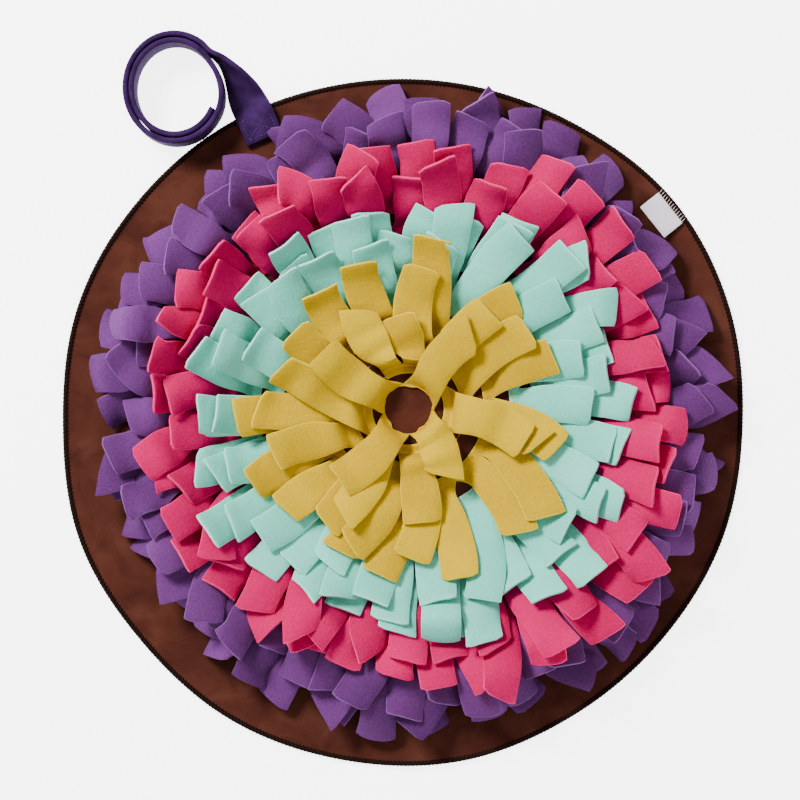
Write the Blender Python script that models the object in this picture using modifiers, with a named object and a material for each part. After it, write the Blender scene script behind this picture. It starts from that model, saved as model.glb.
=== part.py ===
"""Round snuffle mat: a base cloth, eleven sewn rows of fleece strips, a webbing strap and a label.

Metres, +Z up. The origin is the middle of the underside, on the floor. The strips are laid one by
one, from the outermost row inwards, each on top of what already lies there.
"""
import math
import random

import bmesh
import bpy
import numpy as np
from mathutils import Matrix, Vector

# ---------- driving sizes ----------

CLEARANCE = 0.0003          # between two pieces that lie face to face

BASE_THICKNESS = 0.0025
BASE_STEPS = 60             # corners round the outline
RIM_WIDTH = 0.0034          # the overlocked edge, a little thicker than the cloth
RIM_RISE = 0.0008
RIM_WAVE = 0.0012           # how far the free border lifts in its waves
FREE_BORDER = 0.016         # the border that is free to wave
FLOOR_PLACES = 20           # where the border's inner line touches the floor
FLOOR_GAP = 0.0004          # how far it stands off the floor between them

# Radius of the base cloth by bearing: degrees counter-clockwise from +X, then metres.
OUTLINE = (
    (0, 0.2247), (20, 0.2294), (40, 0.2320), (60, 0.2286), (80, 0.2277), (100, 0.2277),
    (120, 0.2288), (140, 0.2280), (160, 0.2274), (180, 0.2237), (200, 0.2261), (220, 0.2237),
    (240, 0.2254), (260, 0.2251), (280, 0.2257), (300, 0.2231), (320, 0.2228), (340, 0.2247),
)

FLEECE = 0.002              # thickness of the fleece
STRIP_WIDTH = 0.025
HEART = Vector((0.0040, 0.0099, 0.0))    # middle of the rows, a little off the base's middle
BAND_LOW = BASE_THICKNESS + CLEARANCE    # each row's uncut band lies on the base cloth
BAND_TOP = BAND_LOW + FLEECE
ROOT_SHARE = 0.44           # half a root's width, as a share of the way to the next root
ROOT_SCATTER = 0.12         # how far roots stray from even spacing, as a share of it

# How a strip runs, seen from above.
STEEPEST_LEAN = 0.90        # radians from straight out
STEEPEST_START = 40.0       # degrees by which a strip may leave its band aslant
START_SCATTER = 8.0         # degrees by which strips leave their band apart from their neighbours
SHORTEST_SPAN = 0.026       # from root to tip, seen from above
LONGEST_SPAN = 0.062
WIDE_BY = 0.45              # share of a strip by which it has its full width
SQUARE_BY = 0.4             # share of a strip by which its sections lie square across it
SIDE_CHANGE = 0.004         # how fast the side that strips twist to changes from row to row
SIDE_KEPT = 0.8             # share of the strips that twist to their neighbours' side
MOST_TILT = 0.9             # most that one edge stands over the other, as a share of the width
NARROWEST = 0.3             # least width that shows from above, as a share of the width

# How a strip is set down on what lies under it.
LAYING_GAP = 0.0006         # room that a strip keeps over what it lies on
SPREAD = 0.35               # how much of a push at one section its neighbours take
CROSSWISE = 0.5             # and how much the other edge takes
LEAST_GAIN = 0.15           # least that one push is taken to help
ROUNDS = 24                 # times that a strip is set against what lies under it
PUSHES = 80                 # pushes in each of those rounds
SETTLED = 0.0001            # a strip lies well when it is short of its room by less
PATCHED = 0.0003            # and is kept if it is short by less than this
SHORT_COUNTS = 10           # how much worse short room is than height, in choosing a way to lie
AT_ROOT = (0.8, 0.9)        # from which share of its root a point is left to lie, and not tested at all
SEED = 26

# One line for each sewn row, from the middle out.
# inset: how far its tips stop short of its colour's outline.
ROWS = (
    # name, colour, band start, root radius, strips, inset, segments
    ("yellow_row_1", "yellow", 0.0157, 0.0168, 4, 0.000, 6),
    ("yellow_row_2", "yellow", 0.0235, 0.0295, 7, 0.000, 6),
    ("yellow_row_3", "yellow", 0.0350, 0.0425, 9, 0.000, 5),
    ("yellow_row_4", "yellow", 0.0500, 0.0570, 14, 0.000, 5),
    ("mint_row_1", "mint", 0.0670, 0.0735, 18, 0.020, 5),
    ("mint_row_2", "mint", 0.0820, 0.0890, 21, 0.009, 5),
    ("mint_row_3", "mint", 0.0970, 0.1040, 26, 0.000, 5),
    ("pink_row_1", "pink", 0.1130, 0.1200, 34, 0.012, 4),
    ("pink_row_2", "pink", 0.1290, 0.1350, 40, 0.000, 4),
    ("purple_row_1", "purple", 0.1445, 0.1510, 49, 0.012, 4),
    ("purple_row_2", "purple", 0.1600, 0.1660, 54, 0.000, 4),
)

# Faces along each root where the band bends sharply; one elsewhere.
ROOT_PARTS = {"yellow_row_1": 5, "yellow_row_2": 3, "yellow_row_3": 3, "yellow_row_4": 3}

# The yellow strips lie apart enough to be placed one by one. In each row: bearing of the root,
# bearing and radius (millimetres) of the tip, the turn on the way and the height of one edge
# over the other at the tip (degrees and millimetres, both positive to the left).
YELLOW = {
    "yellow_row_1": (
        (46, 49.5, 65, -42, 2), (150, 146, 67, -34, -3), (232, 226, 65, -34, 3), (314, 298, 50, -40, -2),
    ),
    "yellow_row_2": (
        (55, 50, 83, -30, 3), (82, 97, 61, -8, -8), (112, 117, 72, -40, 2), (190, 162, 88, 14, -19),
        (240, 238, 81, -28, 3), (275, 277, 75, -26, 2), (354, 344, 80, -36, -3),
    ),
    "yellow_row_3": (
        (26, 33, 94, -34, 3), (83, 84, 93, -28, 4), (150, 146, 90, -34, -4), (178, 180, 99, -22, 5),
        (203, 198, 93, 20, -3), (232, 234, 92, -26, 3), (258, 247, 97, -34, 4), (282, 271, 98, -32, 3),
        (355, 345, 89, -36, -2),
    ),
    "yellow_row_4": (
        (17, 20, 101, -28, 6), (52, 45, 101, -34, 4), (68, 82, 112, -36, -4), (105, 109, 101, -30, 3),
        (127, 127, 97, -36, -3), (183, 183, 113, 8, 3), (204, 206, 113, 14, -4), (222, 219, 104, 14, 5),
        (243, 244, 103, -26, 3), (265, 260, 110, -26, -3), (288, 287, 115, -30, 4), (318, 312, 109, -38, 5),
        (338, 322, 114, -32, 3), (358, 345, 101, -36, -3),
    ),
}

# Each other colour by bearing: radius that its tips reach, and how far its strips lean from
# straight out (degrees, positive counter-clockwise).
ZONES = {
    "mint": (
        (0, 0.146, -12), (30, 0.146, -18), (60, 0.153, -14), (90, 0.131, -14), (120, 0.138, 0),
        (150, 0.140, -20), (180, 0.144, -4), (210, 0.148, 6), (240, 0.145, -8), (270, 0.156, -14),
        (300, 0.155, -16), (330, 0.162, -16),
    ),
    "pink": (
        (0, 0.181, -8), (30, 0.183, -34), (60, 0.185, -20), (90, 0.171, 10), (120, 0.169, 24),
        (150, 0.172, 12), (180, 0.173, 20), (210, 0.174, 26), (240, 0.170, 8), (270, 0.181, -8),
        (300, 0.197, -12), (330, 0.190, -14),
    ),
    "purple": (
        (0, 0.209, 4), (30, 0.199, -16), (60, 0.210, 6), (90, 0.207, 12), (120, 0.198, 48),
        (150, 0.204, 34), (180, 0.205, 10), (210, 0.199, 30), (240, 0.204, 10), (270, 0.213, -14),
        (300, 0.213, 6), (330, 0.208, 12),
    ),
}

# How unruly each colour lies: scatter of lean and turn (degrees), of reach, the least arch, and
# the most that one edge of a tip stands over the other.
MANNER = {
    "mint": {"lean": 9, "turn": -24, "turn_scatter": 16, "reach": 0.005, "arch": 0.003, "roll": 0.008},
    "pink": {"lean": 24, "turn": 0, "turn_scatter": 34, "reach": 0.006, "arch": 0.005, "roll": 0.017},
    "purple": {"lean": 24, "turn": 0, "turn_scatter": 34, "reach": 0.006, "arch": 0.006, "roll": 0.020},
}

# How far the tips of each colour stand over their bands where nothing holds them up.
LIFTS = {"yellow": 0.012, "mint": 0.010, "pink": 0.006, "purple": 0.000}

# How far a corner of a tip may reach past its colour's outline.
CORNER_ROOM = {"mint": 0.010, "pink": 0.008, "purple": 0.006}

# How high the strips of each colour may stand before they are laid calmer.
CEILINGS = {"yellow": 0.046, "mint": 0.036, "pink": 0.034, "purple": 0.028}

# Ways that a strip is tried, from its own to a calmer one, until one stays under its ceiling.
WAYS_TO_LIE = (
    # share of its lean, turn and twist; side that it twists to; share of its reach
    (1.0, 1, 1.0), (1.0, -1, 1.0), (0.7, 1, 1.0), (0.7, -1, 1.0), (0.4, 1, 1.0), (0.4, -1, 1.0),
    (0.1, 1, 1.0), (0.5, 1, 0.85), (0.1, -1, 0.8),
)

WEBBING = 0.0029            # thickness of the strap
STRAP_WIDTH = 0.0255
COIL_CENTRE = Vector((-0.1482, 0.2192, 0.0))
COIL_OUTER = (0.0317, 0.0350)            # half sizes of the outer turn, across and along
COIL_INNER = (0.0277, 0.0306)
COIL_START = 42             # bearing where the strap joins its coil
COIL_TURN = 652             # degrees wound
COIL_STEP_IN = (290, 360)   # degrees between which the strap passes inside its outer turn
COIL_STEPS = 46

# The strap from its sewn end to the coil: its middle, the height of its middle, and how far it
# has turned from lying flat (0) to standing on its edge (90).
STRAP_LEAD = (
    # x, y, z, turn
    (-0.0900, 0.1874, 0.0038, 0), (-0.0936, 0.1956, 0.0038, 0), (-0.0974, 0.2042, 0.0040, 3),
    (-0.1014, 0.2118, 0.0052, 14), (-0.1052, 0.2190, 0.0078, 34), (-0.1090, 0.2258, 0.0104, 54),
    (-0.1134, 0.2322, 0.0122, 70), (-0.1186, 0.2382, 0.0128, 82),
)

LABEL_THICKNESS = 0.001
LABEL_SIZE = (0.0256, 0.0157)            # along the rim, and inwards
LABEL_CENTRE = Vector((0.1721, 0.1388, 0.0))
LABEL_BEARING = 38.5        # the way its short side points
LABEL_ROOM = 0.030          # no strip's tip comes nearer to its middle
LABEL_LIFT = 0.0012         # how far its inner side stands off the cloth

COLOURS = {
    # colour: red, green, blue, roughness
    "yellow": (0.86, 0.60, 0.03, 0.95), "mint": (0.36, 0.71, 0.62, 0.95),
    "pink": (0.93, 0.04, 0.19, 0.95), "purple": (0.15, 0.05, 0.30, 0.95),
    "base": (0.08, 0.02, 0.012, 0.9), "strap": (0.05, 0.015, 0.13, 0.7), "label": (0.75, 0.74, 0.76, 0.6),
}

# ---------- scene ----------

for thing in list(bpy.data.objects):
    bpy.data.objects.remove(thing)

mat_parts = bpy.data.collections.new("snuffle_mat")
bpy.context.scene.collection.children.link(mat_parts)


def material(name):
    """A plain Principled material in one of the object's colours."""
    red, green, blue, roughness = COLOURS[name]
    made = bpy.data.materials.new(name)
    made.use_nodes = True
    shader = made.node_tree.nodes["Principled BSDF"]
    shader.inputs["Base Color"].default_value = (red, green, blue, 1.0)
    shader.inputs["Roughness"].default_value = roughness
    shader.inputs["Metallic"].default_value = 0.0
    return made


MATERIALS = {name: material(name) for name in COLOURS}


def finish(bm, name, colour):
    """Turn a bmesh into a named object of the mat, with its faces pointing out."""
    bmesh.ops.recalc_face_normals(bm, faces=bm.faces)
    mesh = bpy.data.meshes.new(name)
    bm.to_mesh(mesh)
    bm.free()
    mesh.materials.append(MATERIALS[colour])
    thing = bpy.data.objects.new(name, mesh)
    mat_parts.objects.link(thing)
    return thing


# ---------- small geometry ----------

def around(table, bearing, column):
    """A value from a table by bearing, on a smooth closed curve through its lines."""
    step = 360.0 / len(table)
    place = (bearing % 360.0) / step
    line = int(place)
    share = place - line
    p0, p1, p2, p3 = (table[(line + shift) % len(table)][column] for shift in (-1, 0, 1, 2))
    return p1 + 0.5 * share * (p2 - p0 + share * (2 * p0 - 5 * p1 + 4 * p2 - p3
                                                  + share * (3 * (p1 - p2) + p3 - p0)))


def polar(radius, bearing, centre=Vector((0.0, 0.0, 0.0))):
    """The point at a radius and bearing from a centre."""
    angle = math.radians(bearing)
    return centre + Vector((radius * math.cos(angle), radius * math.sin(angle), 0.0))


def rim_lift(bearing, radius):
    """How far the free border stands off the floor there: slow waves that die out inwards."""
    share = 1.0 - (around(OUTLINE, bearing, 1) - radius) / FREE_BORDER
    share = min(max(share, 0.0), 1.0)
    angle = math.radians(bearing)
    wave = 0.5 + 0.3 * math.sin(5 * angle + 0.6) + 0.2 * math.sin(9 * angle + 2.1)
    return RIM_WAVE * wave * share * share


def floor_lift(bearing):
    """How far the underside stands off the floor along the border's inner line."""
    return FLOOR_GAP * (0.5 - 0.5 * math.cos(FLOOR_PLACES * math.radians(bearing)))


# ---------- base cloth ----------

def base():
    """The round base cloth, spun from its section and then drawn out to its uneven outline."""
    reach = 0.227
    edge = RIM_WIDTH / reach
    border = FREE_BORDER / reach
    top = BASE_THICKNESS
    section = (
        # share of the radius, height
        (0.0, top), (0.45, top), (1 - border, top), (1 - border / 2, top), (1 - edge, top),
        (1 - 0.8 * edge, top + RIM_RISE), (1 - 0.3 * edge, top + RIM_RISE), (1.0, 0.55 * top),
        (1 - 0.35 * edge, 0.0), (1 - border / 2, 0.0), (1 - border, 0.0), (0.45, 0.0), (0.0, 0.0),
    )
    bm = bmesh.new()
    corners = [bm.verts.new((share, 0.0, height)) for share, height in section]
    edges = [bm.edges.new(pair) for pair in zip(corners, corners[1:])]
    bmesh.ops.spin(bm, geom=corners + edges, cent=(0, 0, 0), axis=(0, 0, 1), angle=math.tau,
                   steps=BASE_STEPS, use_merge=True)
    bmesh.ops.remove_doubles(bm, verts=bm.verts, dist=0.0001)
    for vert in bm.verts:
        bearing = math.degrees(math.atan2(vert.co.y, vert.co.x))
        radius = math.hypot(vert.co.x, vert.co.y) * around(OUTLINE, bearing, 1)
        height = vert.co.z
        under = height == 0.0 and radius > 0.15
        vert.co = polar(radius, bearing)
        vert.co.z = height + rim_lift(bearing, radius) + (floor_lift(bearing) if under else 0.0)
    return finish(bm, "base", "base")


# ---------- what lies on what ----------

class Pile:
    """The heights of all that has been laid so far, on a square grid, to lay the next piece on."""

    CELL = 0.0005
    HALF = 0.250

    def __init__(self):
        steps = np.arange(-self.HALF, self.HALF, self.CELL)
        x, y = np.meshgrid(steps, steps)
        bearing = np.degrees(np.arctan2(y, x)) % 360.0
        radius = np.hypot(x, y)
        degrees = np.arange(0.0, 361.0)
        outline = np.interp(bearing, degrees, [around(OUTLINE, degree, 1) for degree in degrees])
        border = (radius > outline - FREE_BORDER) & (radius < outline)
        self.top = np.where(radius < outline, BASE_THICKNESS, 0.0)
        share = (radius - outline + FREE_BORDER)[border] / FREE_BORDER
        self.top[border] += RIM_RISE + RIM_WAVE * share ** 2
        self.near = self.top.copy()
        self.spread(0, len(steps), 0, len(steps))

    def cells(self, points):
        """Grid lines and places of an array of points."""
        places = ((points[:, :2] + self.HALF) / self.CELL + 0.5).astype(int)
        places = np.clip(places, 1, self.top.shape[0] - 2)
        return places[:, 1], places[:, 0]

    def spread(self, low_y, high_y, low_x, high_x):
        """Keep, for each cell of a window, the highest of it and its eight neighbours."""
        low_y, low_x = max(low_y - 1, 1), max(low_x - 1, 1)
        high_y, high_x = min(high_y + 2, self.top.shape[0] - 1), min(high_x + 2, self.top.shape[0] - 1)
        window = [self.top[low_y + dy:high_y + dy, low_x + dx:high_x + dx]
                  for dy in (-1, 0, 1) for dx in (-1, 0, 1)]
        self.near[low_y:high_y, low_x:high_x] = np.maximum.reduce(window)

    def lay(self, points):
        """Add a piece, given as points close together all over it."""
        line, place = self.cells(points)
        np.maximum.at(self.top, (line, place), points[:, 2])
        self.spread(line.min(), line.max() + 1, place.min(), place.max() + 1)

    def under(self, points):
        """The height of what lies under or beside each point."""
        return self.near[self.cells(points)]


def cell_shares(steps_along=16, steps_across=28):
    """Shares of a four-cornered cell's corners at points all over its two triangles."""
    shares = []
    for along in np.linspace(0.0, 1.0, steps_along):
        for across in np.linspace(0.0, 1.0, steps_across):
            if along >= across:
                shares.append((1 - along, 0.0, along - across, across))
            else:
                shares.append((1 - across, across - along, 0.0, along))
    return np.array(shares)


CELL_SHARES = cell_shares()


def face_points(corners):
    """Points all over a face of four corners, the first two and the last two side by side."""
    return CELL_SHARES @ np.array([tuple(corner) for corner in corners])


def strip_shares(segments):
    """The same for a whole strip: a line for each point, a column for each station's two edges."""
    lines = np.zeros((segments * len(CELL_SHARES), 2 * (segments + 1)))
    for segment in range(segments):
        first = segment * len(CELL_SHARES)
        lines[first:first + len(CELL_SHARES), 2 * segment:2 * segment + 4] = CELL_SHARES
    return lines


# ---------- fleece strips ----------

def stations(segments):
    """Where along a strip its sections stand, closer together near the root."""
    return [(step / segments) ** 1.15 for step in range(segments + 1)]


def strip_frame(strip, heights, shares):
    """Corners of a strip's sections: upper left, upper right, lower left, lower right."""
    mid = heights.mean(axis=1)
    most = MOST_TILT * STRIP_WIDTH
    tilt = np.clip(heights[:, 0] - heights[:, 1], -most, most)
    width = np.interp(shares, (0.0, WIDE_BY), (strip["root_width"], STRIP_WIDTH))
    half = 0.5 * np.sqrt(np.maximum(width ** 2 - tilt ** 2, (NARROWEST * width) ** 2))
    chord = strip["tip"] - strip["root"]
    heading = math.atan2(chord.y, chord.x)
    turn = strip["turn"]
    centre = np.zeros((len(shares), 3))
    across = np.zeros((len(shares), 3))
    out = math.radians(strip["bearing"])
    for place, share in enumerate(shares):
        angle = heading + turn * (share - 0.5)
        eased = min(share / SQUARE_BY, 1.0) ** 2
        square = out + ((angle - out + math.pi) % math.tau - math.pi) * eased
        across[place] = (-math.sin(square), math.cos(square), 0.0)
        if abs(turn) < 0.01:
            along, off = share, 0.0
        else:
            along = (math.sin(turn * (share - 0.5)) + math.sin(0.5 * turn)) / (2 * math.sin(0.5 * turn))
            off = (math.cos(0.5 * turn) - math.cos(turn * (share - 0.5))) / (2 * math.sin(0.5 * turn))
        centre[place, 0] = strip["root"].x + chord.x * along - chord.y * off
        centre[place, 1] = strip["root"].y + chord.y * along + chord.x * off
    centre[:, 2] = mid
    left = centre + across * half[:, None]
    right = centre - across * half[:, None]
    left[:, 2] = heights[:, 0]
    right[:, 2] = heights[:, 1]
    left[0, :2], right[0, :2] = strip["root_left"].xy, strip["root_right"].xy
    forward = np.gradient(centre, axis=0)
    up = np.cross(forward, left - right)
    up /= np.linalg.norm(up, axis=1)[:, None]
    up[0] = (0.0, 0.0, 1.0)
    return left, right, left - FLEECE * up, right - FLEECE * up


def points_of(frame, weights):
    """Points all over a strip: its upper side, its lower side and halfway between."""
    upper = weights @ np.stack((frame[0], frame[1]), axis=1).reshape(-1, 3)
    lower = weights @ np.stack((frame[2], frame[3]), axis=1).reshape(-1, 3)
    return upper, 0.5 * (upper + lower), lower


def fit_strip(strip, pile, segments):
    """A strip's frame, its top and how short of room it is: its own arch and twist, raised just enough."""
    shares = np.array(stations(segments))
    weights = strip_shares(segments)
    of_root = weights[:, :2].sum(axis=1)
    tested = of_root < AT_ROOT[0]
    beside_root = (of_root >= AT_ROOT[0]) & (of_root < AT_ROOT[1])
    weights_tested = weights[tested]
    apart = np.abs(np.subtract.outer(np.arange(segments + 1), np.arange(segments + 1)))
    yielding = np.kron(SPREAD ** apart, np.array(((1.0, CROSSWISE), (CROSSWISE, 1.0))))
    yielding[:2] = 0.0
    pulls = weights_tested @ yielding.T
    gains = np.maximum((pulls * weights_tested).sum(axis=1), LEAST_GAIN)
    rise = strip["arch"] * np.sin(math.pi * shares ** 0.7) + strip["lift"] * shares
    eased = np.clip((shares - 0.15) / 0.6, 0.0, 1.0)
    twist = 0.5 * strip["roll"] * eased * eased * (3 - 2 * eased)
    mid = BAND_TOP + rise
    heights = np.stack((mid + twist, mid - twist), axis=1)
    for attempt in range(ROUNDS):
        frame = strip_frame(strip, heights, shares)
        short = np.max([pile.under(layer) + LAYING_GAP - layer[:, 2]
                        for layer in points_of(frame, weights)], axis=0)[tested]
        still_short = short.max()
        if still_short < SETTLED:
            break
        for push in range(PUSHES):
            worst = int(short.argmax())
            if short[worst] < 0.5 * SETTLED:
                break
            change = pulls[worst] * (short[worst] / gains[worst])
            heights += change.reshape(-1, 2)
            short -= weights_tested @ change
    buried = np.max([(pile.under(layer) - layer[:, 2])[beside_root] for layer in points_of(frame, weights)])
    return frame, heights.max(), max(still_short, buried)


def lay_strip(strip, pile, segments):
    """Lay one strip on the pile, in a calmer way if it would otherwise stand too high."""
    best = None
    for calm, side, drawn_in in WAYS_TO_LIE:
        tried = dict(strip)
        if strip["loose"]:
            tried.update(tip=strip["root"] + chord_of(strip, calm, drawn_in), turn=strip["turn"] * calm,
                         roll=strip["roll"] * calm * side)
        elif best is not None:
            break
        frame, height, short = fit_strip(tried, pile, segments)
        badness = height + SHORT_COUNTS * short
        if best is None or badness < best[0]:
            best = (badness, frame)
        if height < strip["ceiling"] and short < PATCHED:
            break
    frame = best[1]
    for layer in points_of(frame, strip_shares(segments)):
        pile.lay(layer)
    return frame


def chord_of(strip, calm, drawn_in=1.0):
    """From root to tip for a strip that leans by a share of its own lean and reaches just as far."""
    radius, lean = strip["root_radius"], strip["lean"] * calm
    span = math.sqrt(strip["reach"] ** 2 - (radius * math.sin(lean)) ** 2) - radius * math.cos(lean)
    span = min(max(span * drawn_in, SHORTEST_SPAN), LONGEST_SPAN)
    return polar(span, strip["bearing"] + math.degrees(lean))


def corner_reach(strip):
    """Radius of the outer corner of a strip's tip."""
    chord = strip["tip"] - strip["root"]
    heading = math.degrees(math.atan2(chord.y, chord.x)) + strip["turn_degrees"] / 2
    return max((polar(0.5 * STRIP_WIDTH, heading + side, strip["tip"]) - HEART).length for side in (-90, 90))


def row_strips(row, draw):
    """The plan of one row's strips: root, tip, turn, twist and arch of each."""
    name, colour, _, root_radius, count, inset, _ = row
    strips = []
    offset = draw.random()
    for number in range(count):
        strip = {"number": number, "root_radius": root_radius, "loose": name not in YELLOW,
                 "ceiling": CEILINGS[colour], "lift": LIFTS[colour]}
        if name in YELLOW:
            bearing, tip_bearing, tip_mm, turn, tilt_mm = YELLOW[name][number]
            root = polar(root_radius, bearing, HEART)
            chord = polar(0.001 * tip_mm, tip_bearing, HEART) - root
            lean = (math.degrees(math.atan2(chord.y, chord.x)) - bearing + 180.0) % 360.0 - 180.0
            turn = min(max(turn, 2 * (lean - STEEPEST_START)), 2 * (lean + STEEPEST_START))
            strip.update(bearing=bearing, root=root, tip=root + chord, roll=0.001 * tilt_mm, arch=0.004)
        else:
            manner, zone = MANNER[colour], ZONES[colour]
            bearing = (number + offset + draw.uniform(-ROOT_SCATTER, ROOT_SCATTER)) * 360.0 / count
            zone_lean = around(zone, bearing, 2)
            lean = math.radians(zone_lean + draw.gauss(0.0, manner["lean"]))
            reach = around(zone, bearing, 1) - inset + draw.uniform(-1.0, 1.0) * manner["reach"]
            strip.update(bearing=bearing, lean=min(max(lean, -STEEPEST_LEAN), STEEPEST_LEAN), reach=reach)
            strip["root"] = polar(root_radius, bearing, HEART)
            strip["tip"] = strip["root"] + chord_of(strip, 1.0)
            if (strip["tip"] - LABEL_CENTRE).length < LABEL_ROOM:
                strip["reach"] -= LABEL_ROOM - (strip["tip"] - LABEL_CENTRE).length
                strip["tip"] = strip["root"] + chord_of(strip, 1.0)
            middling = 2 * math.degrees(strip["lean"]) - zone_lean
            turn = manner["turn"] + draw.gauss(0.0, manner["turn_scatter"])
            turn = min(max(turn, middling - 2 * START_SCATTER), middling + 2 * START_SCATTER)
            strip["turn_degrees"] = turn
            for step in range(3):
                over = corner_reach(strip) - around(zone, bearing, 1) - CORNER_ROOM[colour]
                strip["reach"] -= max(over, 0.0)
                strip["tip"] = strip["root"] + chord_of(strip, 1.0)
            side = 1.0 if math.sin(math.radians(4 * bearing) + root_radius / SIDE_CHANGE) > 0 else -1.0
            side = side if draw.random() < SIDE_KEPT else -side
            strip["roll"] = side * manner["roll"] * draw.uniform(0.25, 1.0)
            strip["arch"] = manner["arch"] + draw.uniform(0.0, 0.005)
        strip["turn"] = math.radians(turn)
        strips.append(strip)
    strips.sort(key=lambda strip: strip["bearing"])
    widest = math.degrees(math.asin(0.5 * STRIP_WIDTH / root_radius))
    for strip, before, after in zip(strips, strips[-1:] + strips, strips[1:] + strips[:1]):
        room = min((strip["bearing"] - before["bearing"]) % 360.0,
                   (after["bearing"] - strip["bearing"]) % 360.0)
        strip["half_root"] = min(widest, ROOT_SHARE * room)
        strip["root_width"] = 2 * root_radius * math.sin(math.radians(strip["half_root"]))
        strip["root_left"] = polar(root_radius, strip["bearing"] + strip["half_root"], HEART)
        strip["root_right"] = polar(root_radius, strip["bearing"] - strip["half_root"], HEART)
    return strips


def laying_order(strips, draw):
    """Order of laying: table order by hand, or else a strip that leans over the next root comes after it."""
    count = len(strips)
    if not strips[0]["loose"]:
        return sorted(range(count), key=lambda place: strips[place]["number"])
    balances = [strips[place]["lean"] + strips[(place + 1) % count]["lean"] for place in range(count)]
    weakest = min(range(count), key=lambda place: abs(balances[place]))
    waits_for = [set() for _ in strips]
    for place, balance in enumerate(balances):
        after = (place + 1) % count
        if place != weakest:
            upper, lower = (place, after) if balance > 0 else (after, place)
            waits_for[upper].add(lower)
    order = []
    while len(order) < count:
        free = [place for place in range(count) if place not in order and waits_for[place] <= set(order)]
        order.append(draw.choice(free))
    return order


def row_ring(row, strips):
    """The row's uncut band, and for each strip the outer faces of the band that it grows from."""
    name, _, start, root_radius, _, _, _ = row
    parts = ROOT_PARTS.get(name, 1)
    bm = bmesh.new()
    section = [bm.verts.new((radius, 0.0, height)) for radius, height in
               ((start, BAND_LOW), (root_radius, BAND_LOW), (root_radius, BAND_TOP), (start, BAND_TOP))]
    edges = [bm.edges.new((section[k - 1], section[k])) for k in range(4)]
    steps = (parts + 1) * len(strips)
    bmesh.ops.spin(bm, geom=section + edges, cent=(0, 0, 0), axis=(0, 0, 1), angle=math.tau,
                   steps=steps, use_merge=True)
    bmesh.ops.remove_doubles(bm, verts=bm.verts, dist=0.0001)
    bearings = [strip["bearing"] + strip["half_root"] * (2 * part / parts - 1)
                for strip in strips for part in range(parts + 1)]
    for vert in bm.verts:
        step = round(math.degrees(math.atan2(vert.co.y, vert.co.x)) % 360.0 * steps / 360.0) % steps
        moved = polar(math.hypot(vert.co.x, vert.co.y), bearings[step], HEART)
        vert.co = (moved.x, moved.y, vert.co.z)
    bmesh.ops.recalc_face_normals(bm, faces=bm.faces)
    outer = []
    for face in bm.faces:
        arm = face.calc_center_median() - HEART
        if abs(face.normal.z) < 0.1 and face.normal.dot(arm) > 0:
            outer.append(((math.degrees(math.atan2(arm.y, arm.x)) - bearings[0]) % 360.0, face))
    outer = [face for _, face in sorted(outer, key=lambda pair: pair[0])]
    roots = [outer[(parts + 1) * number:(parts + 1) * number + parts] for number in range(len(strips))]
    return bm, roots


def row_of_strips(row, pile, draw):
    """One row: its band, and its strips drawn out of the band's outer faces one section at a time."""
    name, colour, _, _, _, _, segments = row
    strips = row_strips(row, draw)
    bm, roots = row_ring(row, strips)
    for face in bm.faces:
        if face.normal.z > 0.9:
            one, two, three, four = (vert.co for vert in face.verts)
            pile.lay(face_points((one, two, four, three)))
    for number in laying_order(strips, draw):
        frame = lay_strip(strips[number], pile, segments)
        draw_out(bm, roots[number], list(zip(*frame))[1:])
    print(name, len(strips), "strips")
    return finish(bm, name, colour)


def fold(corners, level):
    """Split the newest cell of one side, so that both sides of a twisted sheet fold the same way."""
    left, right = corners[level + " left"], corners[level + " right"]
    for face in left.link_faces:
        others = set(face.verts) - {left, right}
        if len(face.verts) == 4 and right in face.verts and not others & set(corners.values()):
            for loop in face.loops:
                if loop.vert is left:
                    beside = {loop.link_loop_next.vert, loop.link_loop_prev.vert} - {right}
            bmesh.utils.face_split(face, beside.pop(), right)
            return


def draw_out(bm, faces, sections):
    """Extrude faces that lie side by side through sections of four corners each."""
    bm.normal_update()
    first = True
    for upper_left, upper_right, lower_left, lower_right in sections:
        targets = {"upper left": upper_left, "upper right": upper_right,
                   "lower left": lower_left, "lower right": lower_right}
        if first:
            middle = sum((face.calc_center_median() for face in faces), Vector()) / len(faces)
            sideways = Vector((0.0, 0.0, 1.0)).cross(faces[len(faces) // 2].normal)
        grown = bmesh.ops.extrude_face_region(bm, geom=faces)
        bmesh.ops.delete(bm, geom=faces, context="FACES")
        fresh = [one for one in grown["geom"] if isinstance(one, bmesh.types.BMVert)]
        corners = {}
        welds = {}
        for name in targets:
            if first:
                group = [vert for vert in fresh
                         if (vert.co.z > middle.z) == ("upper" in name)
                         and ((vert.co - middle).dot(sideways) > 0) == ("left" in name)]
                group.sort(key=lambda vert: abs((vert.co - middle).dot(sideways)))
            else:
                group = [min(fresh, key=lambda vert: (vert.co - places[name]).length)]
            corners[name] = group[-1]
            welds.update({vert: group[-1] for vert in group[:-1]})
        bmesh.ops.weld_verts(bm, targetmap=welds)
        faces = [face for face in corners["upper left"].link_faces
                 if all(vert in face.verts for vert in corners.values())]
        for name, vert in corners.items():
            vert.co = targets[name]
        for level in ("upper", "lower"):
            fold(corners, level)
        places = {name: vert.co.copy() for name, vert in corners.items()}
        first = False


# ---------- strap ----------

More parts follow.
